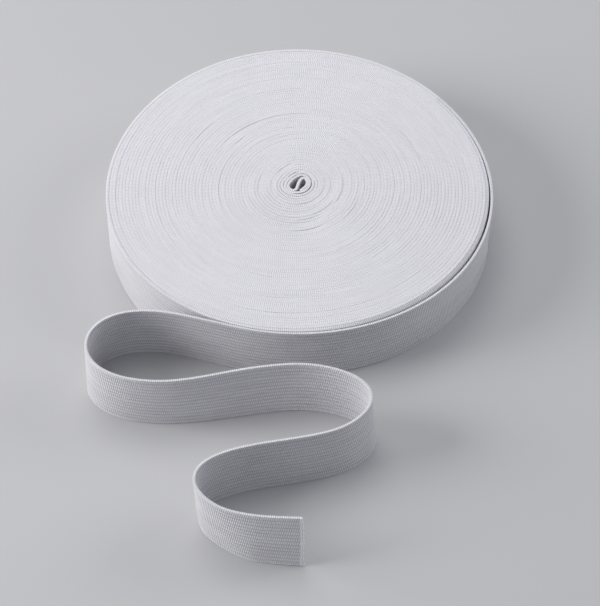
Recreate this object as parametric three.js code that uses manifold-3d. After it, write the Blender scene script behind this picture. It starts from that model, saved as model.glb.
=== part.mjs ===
// A flat roll of white elastic lying on its side, with its loose end snaking out in front.
// Millimetres, +Z up. The origin is on the winding axis, on the underside of the roll.

import * as THREE from "three";
import { mergeVertices } from "three/addons/utils/BufferGeometryUtils.js";
import Module from "manifold-3d";

// Driving dimensions: the band
const BAND_WIDTH = 20;
const BAND_THICKNESS = 1;
const CLEARANCE = 0.3;

// Driving dimensions: the wound roll, which is a little three-cornered
const ROLL_RADIUS = 61;
const LOBE_SWELL = 0.45;
const LOBE_COUNT = 3;
const LOBE_DEG = 95;
const ROLL_STEP_DEG = 3;

// Driving dimensions: the spiral groove on the top face, one groove for several turns of the band
const GROOVE_PITCH = 5.2;
const GROOVE_WIDTH = 0.5;
const GROOVE_DEPTH = 0.5;
const GROOVE_INNER_RADIUS = 6;
const GROOVE_STEP_DEG = 7.5;

// The open middle: two bowed teardrop holes either side of the S-shaped fold, each with a round end and
// a tip. A positive bow bends the hole to the left as it runs from its round end to its tip.
const CORE_HOLES = [
  { roundX: -1.5, roundY: -0.9, radius: 1, tipX: 2, tipY: 4, bow: 0.85 },
  { roundX: 1.7, roundY: 0.95, radius: 0.9, tipX: 0.75, tipY: -2.2, bow: 0.25 },
];
const CORE_CAP_POINTS = 8;
const CORE_FLANK_POINTS = 6;

// Driving dimensions: the last turn, which comes loose at the back right and lies slackly round the front.
// Its lower edge stands off the roll by only a share of what its upper edge does.
const RELEASE_DEG = 40;
const WRAP_DEG = 148;
const SLACK = 0.9;
const SLACK_PEAK_DEG = 75;
const LOWER_SLACK_SHARE = 0.2;

// The loose end after it leaves the roll, as a run of arcs in plan. A positive turn is to the left as the
// band runs on. Headings are averaged over EASE to either side, so that each arc flows into the next.
const LEFT_LOOP = [
  { length: 13, turnDeg: 0.5 },
  { length: 7, turnDeg: 3.5 },
  { length: 12, turnDeg: 18 },
  { length: 8.7, turnDeg: 28 },
  { length: 5, turnDeg: 24 },
  { length: 11.2, turnDeg: 58 },
  { length: 4.5, turnDeg: 23 },
  { length: 9, turnDeg: 25.5 },
  { length: 17, turnDeg: 24.5 },
  { length: 12, turnDeg: 6.5 },
];
const RIGHT_BEND = [
  { length: 19, turnDeg: -9 },
  { length: 10, turnDeg: -14 },
  { length: 13, turnDeg: -24 },
  { length: 6.5, turnDeg: -36 },
  { length: 5.2, turnDeg: -50 },
  { length: 13, turnDeg: -38.5 },
  { length: 5, turnDeg: -9 },
  { length: 11, turnDeg: -5 },
];
const FRONT_LOOP = [
  { length: 9, turnDeg: 3 },
  { length: 8, turnDeg: 7 },
  { length: 6, turnDeg: 12 },
  { length: 4, turnDeg: 18 },
  { length: 8.5, turnDeg: 75 },
  { length: 6, turnDeg: 15 },
  { length: 6, turnDeg: 23 },
  { length: 13, turnDeg: 15 },
  { length: 8.2, turnDeg: 0 },
];
const ARCS = [...LEFT_LOOP, ...RIGHT_BEND, ...FRONT_LOOP];
const EASE = 4;
const EASE_SAMPLES = 9;
const PATH_STEP = 1.5;
const HEADING_STEP_DEG = 0.4;

// How the strip leans: the shift of its lower edge from its upper edge, at distances from the roll
const LEANS = [
  { travelled: 0, x: 0, y: 0 },
  { travelled: 18, x: 0, y: 0.4 },
  { travelled: 57, x: -0.4, y: -0.3 },
  { travelled: 78, x: 0, y: -0.2 },
  { travelled: 110, x: 0, y: -1.8 },
  { travelled: 155, x: 1.1, y: -1.6 },
  { travelled: 175, x: 0, y: -1.4 },
  { travelled: 200, x: 0, y: -1.4 },
  { travelled: 215, x: 1, y: 0 },
  { travelled: 224, x: 0.6, y: 0 },
  { travelled: 238, x: 0, y: -2 },
  { travelled: 251, x: 0, y: -2.5 },
];

// Finish, and the distance within which points are the same point
const COLOUR = 0xe4e3ea;
const ROUGHNESS = 0.9;
const MERGE_DISTANCE = 1e-4;

const wasm = await Module();
wasm.setup();

function toSolid(geometry) {
  const bare = geometry.clone();
  bare.deleteAttribute("normal");
  bare.deleteAttribute("uv");
  const merged = mergeVertices(bare, MERGE_DISTANCE);
  return new wasm.Manifold(new wasm.Mesh({
    numProp: 3,
    vertProperties: new Float32Array(merged.attributes.position.array),
    triVerts: new Uint32Array(merged.index.array),
  }));
}

function toGeometry(solid) {
  const mesh = solid.getMesh();
  const geometry = new THREE.BufferGeometry();
  geometry.setAttribute("position", new THREE.BufferAttribute(mesh.vertProperties, 3));
  geometry.setIndex(new THREE.BufferAttribute(mesh.triVerts, 1));
  geometry.computeVertexNormals();
  return geometry;
}

function polar(radius, degrees) {
  const angle = THREE.MathUtils.degToRad(degrees);
  return new THREE.Vector2(radius * Math.cos(angle), radius * Math.sin(angle));
}

// Outside radius of the wound turns. The band winds clockwise, so the radius grows by one layer
// over a clockwise turn from the place where the last turn comes loose.
function rollRadius(turnedDeg) {
  const lobes = THREE.MathUtils.degToRad(LOBE_COUNT * (RELEASE_DEG - turnedDeg - LOBE_DEG));
  const layer = BAND_THICKNESS + CLEARANCE;
  return ROLL_RADIUS - layer * (1 - turnedDeg / 360) + LOBE_SWELL * Math.cos(lobes);
}

function rollOutline() {
  const points = [];
  for (let turned = 360; turned >= 0; turned -= ROLL_STEP_DEG) {
    points.push(polar(rollRadius(turned), RELEASE_DEG - turned));
  }
  return new THREE.Shape(points);
}

function teardrop(hole) {
  const round = new THREE.Vector2(hole.roundX, hole.roundY);
  const tip = new THREE.Vector2(hole.tipX, hole.tipY);
  const along = tip.clone().sub(round).normalize();
  const left = new THREE.Vector2(-along.y, along.x);
  const flank = (share, side) => round.clone().lerp(tip, share)
    .addScaledVector(left, 4 * hole.bow * share * (1 - share))
    .addScaledVector(left, side * hole.radius * Math.cos((Math.PI / 2) * share));
  const points = [];
  for (let i = 0; i < CORE_CAP_POINTS; i += 1) {
    const angle = Math.PI * (i / CORE_CAP_POINTS);
    points.push(round.clone()
      .addScaledVector(left, hole.radius * Math.cos(angle))
      .addScaledVector(along, -hole.radius * Math.sin(angle)));
  }
  for (let i = 0; i < CORE_FLANK_POINTS; i += 1) {
    points.push(flank(i / CORE_FLANK_POINTS, -1));
  }
  points.push(tip);
  for (let i = CORE_FLANK_POINTS - 1; i > 0; i -= 1) {
    points.push(flank(i / CORE_FLANK_POINTS, 1));
  }
  return new THREE.Path(points);
}

// The left and right edges of a ribbon of constant width along a line of points
function edges(points, width) {
  return points.map((point, i) => {
    const before = points[Math.max(i - 1, 0)];
    const after = points[Math.min(i + 1, points.length - 1)];
    const along = after.clone().sub(before).normalize();
    const side = new THREE.Vector2(-along.y, along.x).multiplyScalar(width / 2);
    return { left: point.clone().add(side), right: point.clone().sub(side) };
  });
}

function spiralGroove() {
  const points = [];
  const outerRadius = ROLL_RADIUS - GROOVE_PITCH / 2;
  const turns = (outerRadius - GROOVE_INNER_RADIUS) / GROOVE_PITCH;
  for (let turned = 0; turned <= 360 * turns; turned += GROOVE_STEP_DEG) {
    points.push(polar(GROOVE_INNER_RADIUS + GROOVE_PITCH * (turned / 360), RELEASE_DEG - turned));
  }
  const sides = edges(points, GROOVE_WIDTH);
  const outline = new THREE.Shape([
    ...sides.map(({ left }) => left).reverse(),
    ...sides.map(({ right }) => right),
  ]);
  const cutter = new THREE.ExtrudeGeometry(outline, { depth: 2 * GROOVE_DEPTH, bevelEnabled: false });
  cutter.translate(0, 0, BAND_WIDTH - GROOVE_DEPTH);
  return cutter;
}

function makeRoll() {
  const outline = rollOutline();
  outline.holes = CORE_HOLES.map(teardrop);
  const wound = new THREE.ExtrudeGeometry(outline, { depth: BAND_WIDTH, bevelEnabled: false });
  return toGeometry(toSolid(wound).subtract(toSolid(spiralGroove())));
}

// How far the loose last turn stands off the roll, from nothing at its release to a broad swell
function slack(turnedDeg) {
  const rise = Math.min(turnedDeg / SLACK_PEAK_DEG, 1);
  const fall = Math.max((turnedDeg - SLACK_PEAK_DEG) / (WRAP_DEG - SLACK_PEAK_DEG), 0);
  return SLACK * Math.sin((Math.PI / 2) * rise) ** 2 * Math.cos((Math.PI / 2) * fall) ** 2;
}

// A place on the loose last turn: the middle of its upper edge in plan, and the shift of its lower edge
function wrapPlace(turnedDeg) {
  const radius = rollRadius(turnedDeg) + CLEARANCE + slack(turnedDeg) + BAND_THICKNESS / 2;
  const inward = -slack(turnedDeg) * (1 - LOWER_SLACK_SHARE);
  return {
    upper: polar(radius, RELEASE_DEG - turnedDeg),
    lowerShift: polar(inward, RELEASE_DEG - turnedDeg),
  };
}

// How far the run of arcs has turned, in degrees, at a distance from the roll. Before that the band
// still turns with the roll, to the right.
function arcHeading(travelled) {
  if (travelled < 0) {
    return THREE.MathUtils.radToDeg(-travelled / ROLL_RADIUS);
  }
  let turned = 0;
  let start = 0;
  for (const { length, turnDeg } of ARCS) {
    if (travelled < start + length) {
      return turned + turnDeg * ((travelled - start) / length);
    }
    turned += turnDeg;
    start += length;
  }
  return turned;
}

function easedHeading(travelled) {
  let sum = 0;
  for (let i = 0; i < EASE_SAMPLES; i += 1) {
    sum += arcHeading(travelled + EASE * ((2 * i) / (EASE_SAMPLES - 1) - 1));
  }
  return THREE.MathUtils.degToRad(sum / EASE_SAMPLES);
}

// The last row holds past the end of the table
function leanAt(travelled) {
  const next = LEANS.findIndex((row) => row.travelled >= travelled);
  const after = LEANS.at(next);
  const before = next > 0 ? LEANS[next - 1] : after;
  const share = THREE.MathUtils.smoothstep(travelled, before.travelled, after.travelled);
  return new THREE.Vector2(before.x, before.y).lerp(new THREE.Vector2(after.x, after.y), share);
}

// The whole loose end in plan: round the front of the roll, then along the arcs
function looseEndPath() {
  const path = [];
  const startDeg = THREE.MathUtils.radToDeg(CLEARANCE / ROLL_RADIUS);
  const wrapSteps = Math.round(WRAP_DEG / ROLL_STEP_DEG);
  for (let i = 0; i <= wrapSteps; i += 1) {
    path.push(wrapPlace(startDeg + (WRAP_DEG - startDeg) * (i / wrapSteps)));
  }

  const place = path.at(-1).upper.clone();
  const leaving = place.clone().sub(wrapPlace(WRAP_DEG - HEADING_STEP_DEG).upper).angle();
  const total = ARCS.reduce((sum, { length }) => sum + length, 0);
  const steps = Math.round(total / PATH_STEP);
  const step = total / steps;
  for (let i = 0; i < steps; i += 1) {
    const heading = leaving + easedHeading(step * (i + 0.5));
    place.add(new THREE.Vector2(step * Math.cos(heading), step * Math.sin(heading)));
    path.push({ upper: place.clone(), lowerShift: leanAt(step * (i + 1)) });
  }
  return path;
}

// A strip standing on its edge: four corners at each place of its path, joined into one closed surface
function makeLooseEnd() {
  const path = looseEndPath();
  const sides = edges(path.map(({ upper }) => upper), BAND_THICKNESS);
  const positions = [];
  path.forEach(({ lowerShift }, i) => {
    const { left, right } = sides[i];
    positions.push(right.x + lowerShift.x, right.y + lowerShift.y, 0);
    positions.push(right.x, right.y, BAND_WIDTH);
    positions.push(left.x, left.y, BAND_WIDTH);
    positions.push(left.x + lowerShift.x, left.y + lowerShift.y, 0);
  });
  const corners = 4;
  const last = corners * (path.length - 1);
  const triangles = [0, 1, 2, 0, 2, 3];
  for (let section = 0; section < last; section += corners) {
    for (let k = 0; k < corners; k += 1) {
      const near = section + k;
      const next = section + ((k + 1) % corners);
      triangles.push(near, next + corners, next, near, near + corners, next + corners);
    }
  }
  triangles.push(last, last + 2, last + 1, last, last + 3, last + 2);
  const geometry = new THREE.BufferGeometry();
  geometry.setAttribute("position", new THREE.Float32BufferAttribute(positions, 3));
  geometry.setIndex(triangles);
  geometry.computeVertexNormals();
  return geometry;
}

function part(name, geometry) {
  const elastic = new THREE.MeshStandardMaterial({ color: COLOUR, roughness: ROUGHNESS, metalness: 0 });
  const mesh = new THREE.Mesh(geometry, elastic);
  mesh.name = name;
  return mesh;
}

const rollOfElastic = new THREE.Group();
rollOfElastic.add(part("roll", makeRoll()));
rollOfElastic.add(part("loose_end", makeLooseEnd()));

export default rollOfElastic;
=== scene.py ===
# A flat roll of white ribbed elastic, wound turn by turn, with its loose end snaking out on its edge.
# Metres, +Z up. The origin is on the winding axis, on the underside of the roll.
import math

import bpy
import numpy as np
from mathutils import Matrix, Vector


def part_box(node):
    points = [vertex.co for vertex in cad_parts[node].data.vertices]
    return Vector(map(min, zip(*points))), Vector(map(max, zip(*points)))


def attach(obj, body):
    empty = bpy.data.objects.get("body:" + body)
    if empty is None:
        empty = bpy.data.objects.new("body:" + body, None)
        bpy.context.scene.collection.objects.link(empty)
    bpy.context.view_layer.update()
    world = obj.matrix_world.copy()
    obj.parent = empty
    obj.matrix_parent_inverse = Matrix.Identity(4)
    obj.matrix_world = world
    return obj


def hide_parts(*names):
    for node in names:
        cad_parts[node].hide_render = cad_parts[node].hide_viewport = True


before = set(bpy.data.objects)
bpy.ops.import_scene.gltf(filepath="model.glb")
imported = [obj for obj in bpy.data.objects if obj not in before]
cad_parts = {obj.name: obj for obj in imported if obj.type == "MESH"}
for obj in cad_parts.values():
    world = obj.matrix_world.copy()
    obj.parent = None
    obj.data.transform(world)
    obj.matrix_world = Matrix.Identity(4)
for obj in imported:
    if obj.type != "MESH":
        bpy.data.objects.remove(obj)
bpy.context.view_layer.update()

MM = 0.001

# Band, as in the solids, and the thickness that shows at the loose end
BAND_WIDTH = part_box("loose_end")[1][2]
BAND_THICKNESS = 1.0 * MM
CLEARANCE = 0.3 * MM
LOOSE_THICKNESS = 0.88 * MM
THINNING_REACH = 60.0 * MM

# Wound roll, as in the solids
ROLL_RADIUS = 61.0 * MM
LOBE_SWELL = 0.45 * MM
LOBE_COUNT = 3
LOBE_DEG = 95.0

# Loose last turn, as in the solids
RELEASE_DEG = 40.0
WRAP_DEG = 148.0
SLACK = 0.9 * MM
SLACK_PEAK_DEG = 75.0
LOWER_SLACK_SHARE = 0.2

# The bends after it, as in the solids: arcs with their length in millimetres and turn in degrees
LEFT_LOOP = (
    (13.0, 0.5), (7.0, 3.5), (12.0, 18.0), (8.7, 28.0), (5.0, 24.0),
    (11.2, 58.0), (4.5, 23.0), (9.0, 25.5), (17.0, 24.5), (12.0, 6.5),
)
RIGHT_BEND = (
    (19.0, -9.0), (10.0, -14.0), (13.0, -24.0), (6.5, -36.0),
    (5.2, -50.0), (13.0, -38.5), (5.0, -9.0), (11.0, -5.0),
)
FRONT_LOOP = (
    (9.0, 3.0), (8.0, 7.0), (6.0, 12.0), (4.0, 18.0), (8.5, 75.0),
    (6.0, 15.0), (6.0, 23.0), (13.0, 15.0), (8.2, 0.0),
)
EASE = 4.0 * MM
EASE_SAMPLES = 9
HEADING_STEP_DEG = 0.4
PATH_STEP = 0.25 * MM

# How the strip leans, as in the solids: distance from the roll in mm, and how far its lower edge
# lies from its upper edge in x and y, in mm
LEANS = (
    (0, 0.0, 0.0), (18, 0.0, 0.4), (57, -0.4, -0.3), (78, 0.0, -0.2), (110, 0.0, -1.8), (155, 1.1, -1.6),
    (175, 0.0, -1.4), (200, 0.0, -1.4), (215, 1.0, 0.0), (224, 0.6, 0.0), (238, 0.0, -2.0),
    (251, 0.0, -2.5),
)

# Fine winding, clockwise from the middle. All but the outer turns are a little oval, the band is thicker
# where they lie further apart, and their unevenness fades out over the last SETTLE_DEG.
TURNS = 54
WOUND_THICKNESS = 1.03 * MM
WOUND_STEP_DEG = 3.0
CORE_CENTRE = np.array((0.15, 0.6)) * MM
CORE_RADIUS = 4.78 * MM
CORE_START_DEG = 8.0
CORE_FADE_FROM = 4.5 * MM
CORE_FADE_TO = 24.0 * MM
OVAL = 0.9 * MM
OVAL_DEG = 65.0
OVAL_RISE = (4.0 * MM, 20.0 * MM)
OVAL_FALL = (24.0 * MM, 60.0 * MM)
SPACING_SHARE = 0.6
CORE_FLAT = 0.9 * MM
CORE_FLAT_DEG = 142.0
CORE_FLAT_REACH_DEG = 60.0
CORE_THINNING = 0.86
CORE_THIN_TO = 8.0 * MM
UNEVEN = 0.02 * MM
DIPS = 0.045 * MM
SETTLE_DEG = 300.0

# The band's inner end in plan: up the right wall of the right hole, down the limb between the two holes,
# round the left hole, and once round the outside of both
FOLD = np.array((
    (0.95, -2.4), (1.8, -1.55), (2.53, -0.65), (3.05, 0.5), (3.15, 1.5), (2.8, 2.5), (2.05, 3.02),
    (1.3, 2.75), (0.75, 2.0), (0.35, 1.0), (0.0, -0.35), (-0.35, -1.5), (-0.85, -2.1), (-1.45, -2.25),
    (-2.15, -1.95), (-2.75, -1.2), (-3.0, -0.15), (-2.45, 1.2), (-1.55, 2.5), (-0.5, 3.45), (0.55, 4.1),
    (1.5, 4.3), (2.45, 4.0), (3.15, 3.35), (3.68, 2.45), (3.88, 1.4), (3.7, -0.2), (3.12, -1.45),
    (2.15, -2.5), (0.6, -3.15), (-1.0, -3.25), (-2.35, -2.95), (-3.35, -2.05), (-3.92, -0.8),
    (-3.82, 0.65), (-3.15, 2.05), (-2.35, 3.08), (-1.28, 4.2), (0.15, 5.05), (1.5, 5.38), (2.95, 5.0),
    (4.08, 3.98), (4.75, 2.75),
)) * MM
FOLD_STEP = 0.25 * MM

# Where the outer turns lie closer in or further out behind the slack of the loose turn:
# direction and reach in degrees, and how far in, in mm
PRESSES = ((-64.0, 44.0, 0.2), (-10.0, 42.0, -0.32))
PRESS_FROM = 34.0 * MM

# The outer shoulder of the last wound turn falls away there
SHOULDER = 1.0 * MM
SHOULDER_DEG = -46.0
SHOULDER_REACH_DEG = 64.0
SHOULDER_FACE = 3.0 * MM
SHOULDER_CREST = 0.3 * MM

# Turns that lie a little low for part of their way:
# radius in mm half way, from and to in degrees, depth in mm
SUNK_TURNS = (
    (30.5, 74.0, 152.0, 0.18), (21.5, 86.0, 122.0, 0.12), (20.3, -48.0, -14.0, 0.14),
    (16.9, -100.0, -54.0, 0.19), (19.1, -96.0, -62.0, 0.18), (13.5, -75.0, -28.0, 0.14),
    (16.0, -32.0, 12.0, 0.14), (24.5, 8.0, 42.0, 0.12), (40.7, 8.0, 40.0, 0.12), (48.8, 6.0, 42.0, 0.1),
    (37.4, 134.0, 152.0, 0.1), (45.0, -84.0, -66.0, 0.15), (47.7, -108.0, -88.0, 0.12),
    (53.7, -118.0, -88.0, 0.15), (39.7, -112.0, -96.0, 0.14), (52.7, -62.0, -40.0, 0.12),
    (39.1, -58.0, -38.0, 0.14), (26.6, 128.0, 139.0, 0.16), (7.8, 95.0, 150.0, 0.12),
    (8.2, -100.0, 0.0, 0.14), (10.3, -80.0, 40.0, 0.14), (12.0, -60.0, 40.0, 0.14),
    (14.8, -95.0, -45.0, 0.14), (14.4, -40.0, 20.0, 0.12), (8.0, 165.0, 215.0, 0.1),
    (12.0, 150.0, 200.0, 0.1),
)
SUNK_EASE = 0.6

# Edges of the band: the plain strip beside the ribs, and how its crest rounds off,
# as a share of half the thickness and a drop in mm
EDGE_STRIP = 0.45 * MM
LOWER_EDGE_SHARE = 0.6
PLAIN_CREST = ((-1.0, 0.14), (-0.9, 0.03), (0.0, 0.0), (0.9, 0.03), (1.0, 0.14))
RIBBED_CREST = ((0.85, 0.25), (0.6, 0.13), (0.25, 0.08), (-0.25, 0.08), (-0.6, 0.13), (-0.85, 0.25))

# Weave: lengthwise ribs, and one stitch after another along each rib
RIB_COUNT = 14
RIB_DEPTH = 0.13 * MM
RIB_POINTS = 4
STITCH = 0.614 * MM
STITCH_LEAN = 0.35
FACE_STEP = STITCH

# Loops of yarn along the edges: half their length as a share of a stitch, how wide their ridge is,
# how deep they sit in the upper edge, how far above the floor they stay, how deep their root goes for
# each part that they stand proud, what they lose on the falling shoulder, and how proud and wide they are
LOOP_HALF = 0.35
RIDGE_SHARE = 0.72
LOOP_SEAT = 0.06 * MM
LOOP_LIFT = 0.02 * MM
LOOP_ROOT = 2.0
SHOULDER_LOOP_LOSS = 0.6
WOUND_LOOP = (0.1 * MM, 0.5 * MM)
LOOSE_UPPER_LOOP = (0.15 * MM, 0.46 * MM)
LOOSE_LOWER_LOOP = (0.32 * MM, 0.62 * MM)

# Cut end: it bows out a little, with the ends of the yarns along it
CUT_BOW = 0.3 * MM
CUT_REACH = 6.0 * MM
CUT_YARNS = 34
CUT_CORNER_YARNS = 4
YARN_RADIUS = 0.28 * MM
YARN_SIDES = 5
YARN_ROOT = 0.3 * MM

# Looks: the elastic's white, how light the painted shade on its edge is between the loops, the depth of its
# weave as bump, and the scales of its fuzz, its faint clouds and its streaks along the band
WHITE = (0.855, 0.845, 0.885)
WOUND_PAINTED_GAP_LIGHTNESS = 0.5
LOOSE_PAINTED_GAP_LIGHTNESS = 0.1
WEAVE_BUMP = 0.18 * MM
FUZZ_SCALE = 2600.0
CLOUD_SCALE = 60.0
STREAK_SCALE = (0.06, 0.7, 0.0)

# Stage: floor, soft world, and lights with their place, target, size, power and colour
FLOOR_GREY = (0.56, 0.56, 0.57)
FLOOR_REACH = 3.0
FLOOR_LEVEL = -0.1 * MM
WORLD_COLOUR = (0.9, 0.93, 1.0, 1.0)
WORLD_STRENGTH = 0.335
WARM_WHITE = (1.0, 0.99, 0.98)
COOL_WHITE = (0.97, 0.97, 1.0)
LIGHTS = (
    ("overhead", (-0.1, 0.25, 0.7), (0.0, 0.0, 0.0), 0.5, 1.4, WARM_WHITE),
    ("left_side", (-0.9, -0.08, 0.42), (0.0, -0.04, 0.0), 0.6, 7.7, WARM_WHITE),
    ("right_side", (0.85, 0.25, 0.45), (0.0, -0.04, 0.0), 0.6, 2.6, COOL_WHITE),
)

# Camera, fitted to the photograph: about 50 degrees down, from well back with a long lens
CAMERA_PLACE = (0.0008, -0.5161, 0.5780)
CAMERA_DOWN_DEG = 50.06
CAMERA_LENS = 142.6

rng = np.random.default_rng(20)


def polar(radius, degrees):
    angle = np.radians(degrees)
    return np.stack((radius * np.cos(angle), radius * np.sin(angle)), axis=-1)


def smoothstep(value, low, high):
    share = np.clip((value - low) / (high - low), 0.0, 1.0)
    return share * share * (3.0 - 2.0 * share)


def between(degrees, middle):
    """The angle between directions, from 0 to 180 degrees."""
    return np.abs((degrees - middle + 180.0) % 360.0 - 180.0)


def lobe(degrees):
    return LOBE_SWELL * np.cos(np.radians(LOBE_COUNT * (degrees - LOBE_DEG)))


def path_lengths(points):
    steps = np.linalg.norm(np.diff(points, axis=0), axis=1)
    return np.concatenate(((0.0,), np.cumsum(steps)))


def left_normals(points):
    along = np.gradient(points, axis=0, edge_order=2)
    along /= np.linalg.norm(along, axis=1)[:, None]
    return np.stack((-along[:, 1], along[:, 0]), axis=1)


class Line:
    """The band's middle line in plan: its upper edge, the shift to its lower edge, its top, its thickness
    as a share, and the fall of its left shoulder."""

    def __init__(self, upper, shift=None, top=None, thick=None, shoulder=None, start=0.0):
        count = len(upper)
        self.upper = np.asarray(upper)
        self.shift = np.zeros((count, 2)) if shift is None else np.asarray(shift)
        self.top = np.full(count, BAND_WIDTH) if top is None else np.asarray(top)
        self.thick = np.ones(count) if thick is None else np.asarray(thick)
        self.shoulder = np.zeros(count) if shoulder is None else np.asarray(shoulder)
        self.left = left_normals(self.upper)
        self.length = start + path_lengths(self.upper)

    def at(self, distance):
        """Upper points, shifts, tops, thicknesses, shoulders and left normals at distances along it."""
        def read(column):
            return np.interp(distance, self.length, column)

        def read_plan(columns):
            return np.stack((read(columns[:, 0]), read(columns[:, 1])), axis=1)

        left = read_plan(self.left)
        left /= np.linalg.norm(left, axis=1)[:, None]
        plan = read_plan(self.upper), read_plan(self.shift)
        return plan + (read(self.top), read(self.thick), read(self.shoulder), left)

    def part(self, first, last):
        keep = slice(first, last)
        columns = self.upper, self.shift, self.top, self.thick, self.shoulder
        return Line(*(column[keep] for column in columns), self.length[keep][0])

    def resampled(self, step):
        """The same line in even steps, along a smooth curve."""
        upper = smooth_curve(self.upper, step)
        distance = np.linspace(self.length[0], self.length[-1], len(upper))
        _, shift, top, thick, shoulder, left = self.at(distance)
        line = Line(upper, shift, top, thick, shoulder, self.length[0])
        line.left = left
        return line


def slack(turned):
    rise = np.clip(turned / SLACK_PEAK_DEG, 0.0, 1.0)
    fall = np.clip((turned - SLACK_PEAK_DEG) / (WRAP_DEG - SLACK_PEAK_DEG), 0.0, 1.0)
    return SLACK * np.sin(math.pi / 2 * rise) ** 2 * np.cos(math.pi / 2 * fall) ** 2


def wrap_places(turned):
    """The loose last turn: the middle of its upper edge in plan, and the shift of its lower edge."""
    degrees = RELEASE_DEG - turned
    layer = BAND_THICKNESS + CLEARANCE
    roll = ROLL_RADIUS - layer * (1.0 - turned / 360.0) + lobe(degrees)
    upper = polar(roll + CLEARANCE + slack(turned) + BAND_THICKNESS / 2, degrees)
    return upper, polar(-slack(turned) * (1.0 - LOWER_SLACK_SHARE), degrees)


def arc_headings(travelled):
    """How far the arcs have turned, in degrees. Before them the band still turns with the roll."""
    lengths, turns = np.array(LEFT_LOOP + RIGHT_BEND + FRONT_LOOP).T
    ends = np.concatenate(((0.0,), np.cumsum(lengths))) * MM
    turned = np.concatenate(((0.0,), np.cumsum(turns)))
    before = np.degrees(-travelled / ROLL_RADIUS)
    return np.where(travelled < 0.0, before, np.interp(travelled, ends, turned))


def leans_at(travelled):
    places, x, y = np.array(LEANS).T * MM
    row = np.clip(np.searchsorted(places, travelled) - 1, 0, len(places) - 2)
    share = smoothstep(travelled, places[row], places[row + 1])
    shifts = np.stack((x, y), axis=1)
    return shifts[row] + share[:, None] * (shifts[row + 1] - shifts[row])


def loose_line(start):
    """Round the front of the roll, then along the arcs. start is the length of the band before it."""
    wrap, wrap_shift = wrap_places(np.linspace(0.0, WRAP_DEG, 600))
    run = wrap[-1] - wrap_places(np.array((WRAP_DEG - HEADING_STEP_DEG,)))[0][0]
    total = sum(length for length, _ in LEFT_LOOP + RIGHT_BEND + FRONT_LOOP) * MM
    count = round(total / PATH_STEP)
    step = total / count
    middles = step * (np.arange(count) + 0.5)
    spread = EASE * np.linspace(-1.0, 1.0, EASE_SAMPLES)
    eased = np.mean([arc_headings(middles + offset) for offset in spread], axis=0)
    headings = math.atan2(run[1], run[0]) + np.radians(eased)
    free = wrap[-1] + np.cumsum(step * np.stack((np.cos(headings), np.sin(headings)), axis=1), axis=0)
    free_shift = leans_at(step * np.arange(1, count + 1))
    upper = np.concatenate((wrap, free))
    thinner = smoothstep(path_lengths(upper), 0.0, THINNING_REACH)
    thick = 1.0 + (LOOSE_THICKNESS / WOUND_THICKNESS - 1.0) * thinner
    return Line(upper, np.concatenate((wrap_shift, free_shift)), thick=thick, start=start)


def waver(turns, count, slowest, fastest):
    """A seeded, smooth unevenness along the winding, from about -1 to 1."""
    total = np.zeros_like(turns)
    for rate in np.linspace(slowest, fastest, count) + rng.uniform(-0.1, 0.1, count):
        total += np.sin(2 * math.pi * (rate * turns + rng.uniform()))
    return total / math.sqrt(count) / 1.4


def swell(degrees, middle, reach):
    """A soft swell from 0 to 1 and back, about one direction."""
    return np.cos(math.pi / 2 * np.clip(between(degrees, middle) / reach, 0.0, 1.0)) ** 2


def part_turn(degrees, start, end):
    """1 between two directions, 0 elsewhere, with soft ends."""
    half = (end - start) / 2
    return 1.0 - smoothstep(between(degrees, start + half), half * (1.0 - SUNK_EASE), half)


def sunk(spiral, turned, degrees):
    """How far the turns lie below the rest, from the table of sunk turns."""
    radius = np.linalg.norm(spiral, axis=1)
    depth = np.zeros_like(radius)
    for row_radius, start, end, row_depth in SUNK_TURNS:
        half_way = between(degrees, (start + end) / 2) < WOUND_STEP_DEG
        misfit = np.where(half_way, np.abs(radius - row_radius * MM), np.inf)
        same_turn = np.abs(turned - turned[np.argmin(misfit)]) < 180.0
        depth += row_depth * MM * same_turn * part_turn(degrees, start, end)
    return depth


def spacing(rounded):
    """How far apart the turns lie at each place, as a share of their mean distance."""
    turn = round(360.0 / WOUND_STEP_DEG)
    apart = (rounded[turn:] - rounded[:-turn]) / (rounded[-1] - rounded[0]) * (len(rounded) - 1) / turn
    inward = np.concatenate((apart[:turn], apart))
    outward = np.concatenate((apart, apart[-turn:]))
    return (inward + outward) / 2


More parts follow.
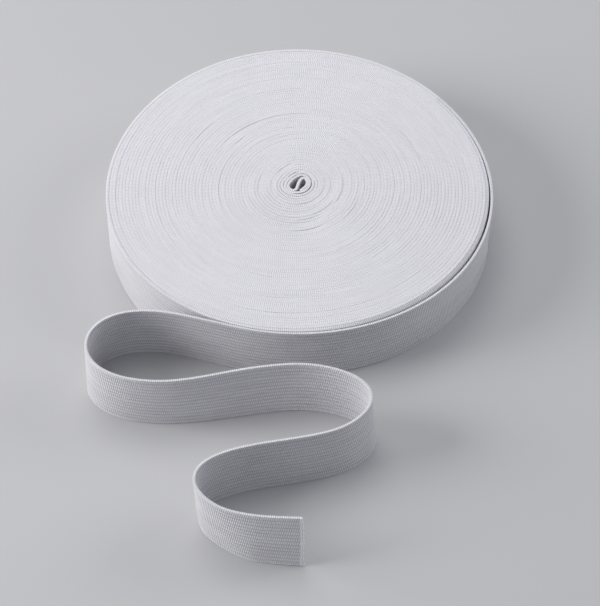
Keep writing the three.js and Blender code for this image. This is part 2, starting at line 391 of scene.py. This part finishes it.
def wound_line():
    """From the fold in the middle out to the place where the last turn comes loose."""
    span = 360.0 * TURNS + CORE_START_DEG - RELEASE_DEG
    turned = np.linspace(0.0, span, round(span / WOUND_STEP_DEG) + 1)
    degrees = CORE_START_DEG - turned
    turns = turned / 360.0
    outer = ROLL_RADIUS - BAND_THICKNESS / 2
    radius = CORE_RADIUS + (outer - CORE_RADIUS) * turned / span
    near_core = 1.0 - smoothstep(radius, CORE_FADE_FROM, CORE_FADE_TO)
    near_end = 1.0 - smoothstep(span - turned, 0.0, SETTLE_DEG)
    oval = OVAL * smoothstep(radius, *OVAL_RISE) * (1.0 - smoothstep(radius, *OVAL_FALL))
    oval = oval * np.cos(np.radians(2.0 * (degrees - OVAL_DEG)))
    oval -= near_core * CORE_FLAT * swell(degrees, CORE_FLAT_DEG, CORE_FLAT_REACH_DEG)
    uneven = UNEVEN * waver(turns, 5, 0.4, 2.6) * (1.0 - near_core) * (1.0 - near_end)
    press = sum(depth * MM * swell(degrees, middle, reach) for middle, reach, depth in PRESSES)
    press = press * smoothstep(radius, PRESS_FROM, outer)
    rounded = radius + oval + lobe(degrees) * (radius / outer) ** 2 + uneven - press
    spiral = CORE_CENTRE * near_core[:, None] + polar(rounded, degrees)
    fold = smooth_curve(np.concatenate((FOLD, spiral[:12:6])), FOLD_STEP)
    fold = fold[: np.argmin(np.linalg.norm(fold - spiral[0], axis=1))]
    dips = DIPS * (1.0 + waver(turns, 6, 0.3, 3.1)) * (1.0 - near_end) + sunk(spiral, turned, degrees)
    top = BAND_WIDTH - np.concatenate((np.full(len(fold), dips[0]), dips))
    thin = CORE_THINNING + (1.0 - CORE_THINNING) * smoothstep(radius, CORE_RADIUS, CORE_THIN_TO)
    wider = SPACING_SHARE * (spacing(rounded) - 1.0) * (1.0 - near_core) * (1.0 - near_end)
    thin = thin * (1.0 + wider)
    thick = np.concatenate((np.full(len(fold), CORE_THINNING), thin))
    fall = SHOULDER * swell(degrees, SHOULDER_DEG, SHOULDER_REACH_DEG) * (turned > span - 360.0)
    shoulder = np.concatenate((np.zeros(len(fold)), fall))
    return Line(np.concatenate((fold, spiral)), top=top, thick=thick, shoulder=shoulder)


def smooth_curve(points, step):
    """Catmull-Rom curve through the points, in even steps."""
    padded = np.concatenate((2 * points[:1] - points[1:2], points, 2 * points[-1:] - points[-2:-1]))
    share = np.linspace(0.0, 1.0, 20, endpoint=False)[:, None]
    parts = []
    for a, b, c, d in zip(padded, padded[1:], padded[2:], padded[3:]):
        parts.append(0.5 * (2 * b + (c - a) * share + (2 * a - 5 * b + 4 * c - d) * share ** 2
                            + (3 * b - a - 3 * c + d) * share ** 3))
    curve = np.concatenate(parts + [points[-1:]])
    length = path_lengths(curve)
    even = np.linspace(0.0, length[-1], round(length[-1] / step) + 1)
    return np.stack((np.interp(even, length, curve[:, 0]), np.interp(even, length, curve[:, 1])), axis=1)


def make_piece(name, vertices, faces, material, uv, smooth=None):
    """A mesh object from arrays. uv holds the distance along and the height of each vertex."""
    mesh = bpy.data.meshes.new(name)
    mesh.from_pydata(vertices.tolist(), [], [list(face) for face in faces])
    if smooth is not None:
        mesh.polygons.foreach_set("use_smooth", smooth)
    layer = mesh.uv_layers.new(name="band")
    corners = np.empty(len(mesh.loops), dtype=np.int32)
    mesh.loops.foreach_get("vertex_index", corners)
    layer.data.foreach_set("uv", (uv[corners] / MM).astype(np.float32).ravel())
    mesh.materials.append(material)
    mesh.update()
    piece = bpy.data.objects.new(name, mesh)
    bpy.context.collection.objects.link(piece)
    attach(piece, "root")
    return piece


def cut_bow(share):
    """How far the cut end bows out, at a share of the band's width."""
    return CUT_BOW * (1.0 - (2.0 * share - 1.0) ** 2)


def sweep(name, line, section, material, bowed=False, smooth=True):
    """A closed strip along the line. The section is a loop of offsets to the left and heights."""
    across, height = section
    count, around = len(line.upper), len(across)
    share = height / BAND_WIDTH
    girth = line.thick[:, None] * across[None, :]
    plan = line.upper[:, None, :] + girth[..., None] * line.left[:, None, :]
    plan = plan + (1.0 - share)[None, :, None] * line.shift[:, None, :]
    if bowed:
        ahead = np.stack((line.left[:, 1], -line.left[:, 0]), axis=1)
        near_end = smoothstep(line.length, line.length[-1] - CUT_REACH, line.length[-1])
        plan = plan + near_end[:, None, None] * cut_bow(share)[None, :, None] * ahead[:, None, :]
    outer_side = smoothstep(across, across.min(), across.max())
    fall = outer_side * smoothstep(height, BAND_WIDTH - SHOULDER_FACE, BAND_WIDTH - SHOULDER_CREST)
    rise = share[None, :] * line.top[:, None] - fall[None, :] * line.shoulder[:, None]
    vertices = np.concatenate((plan, rise[..., None]), axis=2).reshape(-1, 3)
    start = np.arange(count - 1)[:, None] * around
    this = np.arange(around)[None, :]
    after = (this + 1) % around
    quads = np.stack((start + this, start + after, start + after + around, start + this + around), axis=2)
    faces = quads.reshape(-1, 4).tolist()
    faces.append(list(range(around - 1, -1, -1)))
    faces.append(list(range((count - 1) * around, count * around)))
    uv = np.stack((np.repeat(line.length, around), np.tile(height, count)), axis=1)
    shading = np.full(len(faces), smooth)
    shading[-2:] = False
    return make_piece(name, vertices, faces, material, uv, shading)


def plain_section(thickness):
    """A plain strip with a softly rounded crest."""
    half = thickness / 2
    crest = [(side * half, BAND_WIDTH - drop * MM) for side, drop in PLAIN_CREST]
    foot = ((half, EDGE_STRIP), (LOWER_EDGE_SHARE * half, 0.0), (-LOWER_EDGE_SHARE * half, 0.0))
    across, height = np.array([(-half, EDGE_STRIP), *crest, *foot]).T
    return across[::-1], height[::-1]


def ribbed_section(thickness, inner_ribs):
    """Lengthwise ribs on the left face, and on the right face too where inner_ribs is true."""
    half = thickness / 2
    low, high = EDGE_STRIP, BAND_WIDTH - EDGE_STRIP
    height = np.linspace(low, high, RIB_COUNT * RIB_POINTS + 1)
    wave = 0.5 - 0.5 * np.cos(2 * math.pi * RIB_COUNT * (height - low) / (high - low))
    face = half - RIB_DEPTH * (1.0 - wave)
    top = [(side * half, BAND_WIDTH - drop * MM) for side, drop in RIBBED_CREST]
    left = list(zip(face, height))
    if inner_ribs:
        right = list(zip(-face[::-1], height[::-1]))
    else:
        right = [(-half, high), (-half, low)]
    bottom = [(-LOWER_EDGE_SHARE * half, 0.0), (LOWER_EDGE_SHARE * half, 0.0)]
    across, rise = np.array(left + top + right + bottom).T
    return across, rise


def edge_loops(name, line, material, size, upper=True):
    """The small loops of yarn along an edge of the band, one for each stitch, as a joined mesh."""
    proud, wide = size
    first = math.ceil(line.length[0] / STITCH - 0.5) + 0.5
    distance = np.arange(first * STITCH, line.length[-1], STITCH)
    place, shift, top, thick, shoulder, left = line.at(distance)
    count = len(distance)
    if upper:
        level = top - LOOP_SEAT - shoulder / 2
        out = proud * (1.0 - SHOULDER_LOOP_LOSS * shoulder / SHOULDER)
        back = -LOOP_ROOT * out
    else:
        place = place + shift
        level = np.full(count, proud + LOOP_LIFT)
        out = np.full(count, -proud)
        back = -out
    centre = np.concatenate((place, level[:, None]), axis=1)
    flat = np.zeros((count, 1))
    up = np.array((0.0, 0.0, 1.0))
    ahead = LOOP_HALF * STITCH * np.concatenate((left[:, 1:], -left[:, :1], flat), axis=1)
    aside = (wide * thick * rng.uniform(0.92, 1.06, count))[:, None] * np.concatenate((left, flat), axis=1)
    aside = aside - (shoulder * wide / WOUND_THICKNESS)[:, None] * up
    uneven = rng.uniform(0.8, 1.0, count)
    ridge = centre + (uneven * out)[:, None] * up
    corners = np.stack((
        centre + ahead - aside, centre + ahead + aside, centre - ahead + aside, centre - ahead - aside,
        ridge - RIDGE_SHARE * aside, ridge + RIDGE_SHARE * aside, centre + (uneven * back)[:, None] * up,
    ), axis=1)
    vertices = corners.reshape(-1, 3)
    pattern = ((0, 1, 5, 4), (1, 2, 5), (2, 3, 4, 5), (3, 0, 4), (1, 0, 6), (2, 1, 6), (3, 2, 6), (0, 3, 6))
    around = 1 if upper else -1
    faces = [[7 * k + i for i in face[::around]] for k in range(count) for face in pattern]
    height = BAND_WIDTH if upper else 0.0
    uv = np.stack((np.repeat(distance, 7), np.full(7 * count, height)), axis=1)
    return make_piece(name, vertices, faces, material, uv)


def cut_yarns(name, line, material):
    """The yarn ends along the cut, with a few longer ones at its lower corner, as a joined mesh."""
    left = np.append(line.left[-1], 0.0)
    ahead = np.array((left[1], -left[0], 0.0))
    up = np.array((0.0, 0.0, 1.0))
    even = (np.arange(CUT_YARNS) + 0.5) / CUT_YARNS
    share = np.concatenate((even, rng.uniform(0.01, 0.05, CUT_CORNER_YARNS)))
    short, long = rng.uniform(0.1, 0.35, CUT_YARNS), rng.uniform(0.5, 1.0, CUT_CORNER_YARNS)
    reach = np.concatenate((short, long)) * MM
    girth = np.concatenate((np.full(CUT_YARNS, 1.0), np.full(CUT_CORNER_YARNS, 0.4))) * YARN_RADIUS
    around = 2 * math.pi * np.arange(YARN_SIDES) / YARN_SIDES
    vertices, faces = [], []
    for k in range(len(share)):
        edge = line.upper[-1] + (1.0 - share[k]) * line.shift[-1]
        root = np.append(edge, share[k] * BAND_WIDTH) + cut_bow(share[k]) * ahead
        root = root + rng.uniform(-0.25, 0.25) * LOOSE_THICKNESS * left
        aim = ahead + rng.uniform(-0.35, 0.35) * left + rng.uniform(-0.3, 0.3) * up
        first = len(vertices)
        for step, size in ((-YARN_ROOT, 1.0), (0.5 * reach[k], 0.9), (reach[k], 0.45)):
            ring = np.cos(around)[:, None] * left + np.sin(around)[:, None] * up
            vertices.extend(root + step * aim + girth[k] * size * ring)
        for ring in (0, YARN_SIDES):
            for i in range(YARN_SIDES):
                near, after = first + ring + i, first + ring + (i + 1) % YARN_SIDES
                faces.append((near, after, after + YARN_SIDES, near + YARN_SIDES))
        faces.append(tuple(first + YARN_SIDES - 1 - i for i in range(YARN_SIDES)))
        faces.append(tuple(first + 2 * YARN_SIDES + i for i in range(YARN_SIDES)))
    vertices = np.array(vertices)
    # Their distance along is the cut's, so they take the painted highlight of the cut
    uv = np.tile((line.length[-1], BAND_WIDTH), (len(vertices), 1))
    return make_piece(name, vertices, faces, material, uv)


class Nodes:
    """Short calls for building a material's node tree."""

    def __init__(self, name):
        self.material = bpy.data.materials.new(name)
        self.material.use_nodes = True
        self.tree = self.material.node_tree
        self.shader = self.tree.nodes["Principled BSDF"]

    def add(self, kind, inputs=(), **settings):
        node = self.tree.nodes.new(kind)
        for key, value in settings.items():
            setattr(node, key, value)
        for key, value in dict(inputs).items():
            if isinstance(value, bpy.types.NodeSocket):
                self.tree.links.new(value, node.inputs[key])
            else:
                node.inputs[key].default_value = value
        return node

    def math(self, operation, a, b=0.0):
        return self.add("ShaderNodeMath", {0: a, 1: b}, operation=operation).outputs[0]

    def noise(self, vector, scale, detail=2.0):
        settings = {"Vector": vector, "Scale": scale, "Detail": detail}
        return self.add("ShaderNodeTexNoise", settings).outputs["Fac"]

    def remap(self, value, low, high, start=0.0, end=1.0):
        settings = {"Value": value, "From Min": start, "From Max": end, "To Min": low, "To Max": high}
        return self.add("ShaderNodeMapRange", settings).outputs["Result"]


def elastic_material(name, tint, painted_gap_lightness, cut_at=None):
    """Ribbed elastic: staggered, leaning stitches along the ribs, with yarn fuzz and faint unevenness.
    Its colour is darkened as painted shade in the rib valleys, between the stitches and between the edge
    loops.

    The third argument is how light the painted shade on the edge is between its loops of yarn, from 0 to 1.
    The ribs give way to loose yarn just before cut_at, a distance along the band, and there the colour is
    lifted above the white as a painted highlight.
    """
    n = Nodes(name)
    band = n.add("ShaderNodeUVMap", uv_map="band").outputs["UV"]
    split = n.add("ShaderNodeSeparateXYZ", {"Vector": band})
    along, up = split.outputs["X"], split.outputs["Y"]
    width = BAND_WIDTH / MM
    rib = n.math("MULTIPLY", up, RIB_COUNT / width)
    row = n.math("FLOOR", rib)
    within = n.math("SUBTRACT", rib, row)
    stagger = n.math("ADD", n.math("MULTIPLY", row, 0.5), n.math("MULTIPLY", within, -STITCH_LEAN))
    stitch = n.math("ADD", n.math("MULTIPLY", along, MM / STITCH), stagger)
    loop = n.math("ABSOLUTE", n.math("SINE", n.math("MULTIPLY", stitch, math.pi)))
    crown = n.math("ABSOLUTE", n.math("SINE", n.math("MULTIPLY", rib, math.pi)))
    # knit is 1 on the crowns of the loops and ribs and 0 in their valleys: the weave's bump height, and the
    # mask of its painted shade
    knit = n.math("MULTIPLY", n.math("POWER", loop, 0.8), n.math("POWER", crown, 0.5))
    from_middle = n.math("ABSOLUTE", n.math("SUBTRACT", up, width / 2))
    edge = n.remap(from_middle, 0.0, 1.0, width / 2 - 0.5, width / 2 - 0.25)
    # Painted shade: on the edges the colour is darkened between the loops of yarn, as far as the third
    # argument allows
    edge_stitch = n.math("ABSOLUTE", n.math("SINE", n.math("MULTIPLY", along, math.pi * MM / STITCH)))
    knit = n.math("MAXIMUM", knit, n.math("MULTIPLY", edge, n.remap(edge_stitch, painted_gap_lightness, 1.0)))
    if cut_at is not None:
        cut = n.remap(along, 0.0, 1.0, cut_at / MM - 1.0, cut_at / MM - 0.6)
        knit = n.math("MAXIMUM", knit, cut)
    place = n.add("ShaderNodeTexCoord").outputs["Object"]
    fuzz = n.noise(place, FUZZ_SCALE)
    cloudy = n.noise(place, CLOUD_SCALE)
    drawn_out = n.add("ShaderNodeVectorMath", {0: band, 1: STREAK_SCALE}, operation="MULTIPLY")
    streaky = n.noise(drawn_out.outputs["Vector"], 1.0)
    # Painted shade: the colour falls from the white on the crowns to this level in the rib valleys and
    # between the stitches, where shade would fall; its depth varies along the streaks
    painted_valley_shade = n.remap(streaky, 0.52, 0.66, 0.3, 0.7)
    shade = n.math("ADD", n.math("MULTIPLY", knit, n.math("SUBTRACT", 1.0, painted_valley_shade)), painted_valley_shade)
    shade = n.math("MULTIPLY", shade, n.remap(streaky, 0.98, 1.02, 0.3, 0.7))
    shade = n.math("MULTIPLY", shade, n.remap(cloudy, 0.98, 1.02))
    shade = n.math("MULTIPLY", shade, n.remap(fuzz, 0.94, 1.04))
    # Painted highlight: near the cut the colour is lifted to 1.1 times the white, for the yarn there
    # catching light
    if cut_at is not None:
        shade = n.math("MAXIMUM", shade, n.math("MULTIPLY", cut, 1.1))
    colour = n.add("ShaderNodeVectorMath", {0: tint, "Scale": shade}, operation="SCALE").outputs["Vector"]
    n.tree.links.new(colour, n.shader.inputs["Base Color"])
    n.shader.inputs["Roughness"].default_value = 0.85
    n.shader.inputs["Specular IOR Level"].default_value = 0.25
    n.shader.inputs["Sheen Weight"].default_value = 0.2
    n.shader.inputs["Sheen Roughness"].default_value = 0.5
    height = n.math("ADD", knit, n.math("MULTIPLY", fuzz, 0.3))
    bump = n.add("ShaderNodeBump", {"Strength": 1.0, "Distance": WEAVE_BUMP, "Height": height})
    n.tree.links.new(bump.outputs["Normal"], n.shader.inputs["Normal"])
    return n.material


def floor_material():
    n = Nodes("pale_floor")
    place = n.add("ShaderNodeTexCoord").outputs["Object"]
    shade = n.remap(n.noise(place, 3.0), 0.97, 1.03)
    colour = n.add("ShaderNodeVectorMath", {0: FLOOR_GREY, "Scale": shade}, operation="SCALE")
    n.tree.links.new(colour.outputs["Vector"], n.shader.inputs["Base Color"])
    n.shader.inputs["Roughness"].default_value = 0.6
    return n.material


def make_camera():
    camera = bpy.data.objects.new("camera", bpy.data.cameras.new("camera"))
    bpy.context.collection.objects.link(camera)
    camera.location = CAMERA_PLACE
    camera.rotation_euler = (math.radians(90.0 - CAMERA_DOWN_DEG), 0.0, 0.0)
    camera.data.lens = CAMERA_LENS
    camera.data.clip_start = 0.01
    bpy.context.scene.camera = camera


def area_light(name, place, target, size, power, colour):
    lamp = bpy.data.lights.new(name, "AREA")
    lamp.shape = "DISK"
    lamp.size = size
    lamp.energy = power
    lamp.color = colour
    light = bpy.data.objects.new(name, lamp)
    bpy.context.collection.objects.link(light)
    light.location = place
    aim = np.array(target) - np.array(place)
    tilt = math.atan2(math.hypot(aim[0], aim[1]), -aim[2])
    light.rotation_euler = (tilt, 0.0, math.atan2(-aim[0], aim[1]))


def make_stage():
    mesh = bpy.data.meshes.new("floor")
    corners = ((-1, -1), (1, -1), (1, 1), (-1, 1))
    vertices = [(x * FLOOR_REACH, y * FLOOR_REACH, FLOOR_LEVEL) for x, y in corners]
    mesh.from_pydata(vertices, [], [(0, 1, 2, 3)])
    mesh.materials.append(floor_material())
    floor = bpy.data.objects.new("floor", mesh)
    bpy.context.collection.objects.link(floor)
    world = bpy.data.worlds.new("studio")
    world.use_nodes = True
    background = world.node_tree.nodes["Background"]
    background.inputs["Color"].default_value = WORLD_COLOUR
    background.inputs["Strength"].default_value = WORLD_STRENGTH
    bpy.context.scene.world = world
    bpy.context.scene.view_settings.view_transform = "Standard"
    for light in LIGHTS:
        area_light(*light)


make_camera()
make_stage()

winding = wound_line()
last_turn_from = len(winding.length) - 1 - round(360.0 / WOUND_STEP_DEG)
inner = winding.part(0, last_turn_from + 1)
outer = winding.part(last_turn_from, None).resampled(FACE_STEP)
loose = loose_line(winding.length[-1]).resampled(FACE_STEP)

wound_white = elastic_material("wound_elastic", WHITE, WOUND_PAINTED_GAP_LIGHTNESS)
loose_white = elastic_material("loose_elastic", WHITE, LOOSE_PAINTED_GAP_LIGHTNESS, cut_at=loose.length[-1])

wound_turns = sweep("wound_turns", inner, plain_section(WOUND_THICKNESS), wound_white, smooth=False)
last_turn = sweep("last_wound_turn", outer, ribbed_section(WOUND_THICKNESS, False), wound_white)
loose_band = sweep("loose_band", loose, ribbed_section(WOUND_THICKNESS, True), loose_white, bowed=True)

wound_loops = edge_loops("wound_edge_loops", winding, wound_white, WOUND_LOOP)
loose_upper_loops = edge_loops("loose_upper_loops", loose, loose_white, LOOSE_UPPER_LOOP)
loose_lower_loops = edge_loops("loose_lower_loops", loose, loose_white, LOOSE_LOWER_LOOP, upper=False)
cut_end_yarns = cut_yarns("cut_end_yarns", loose, loose_white)

for piece in (wound_turns, last_turn, wound_loops):
    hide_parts("roll")
for piece in (loose_band, loose_upper_loops, loose_lower_loops, cut_end_yarns):
    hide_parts("loose_end")
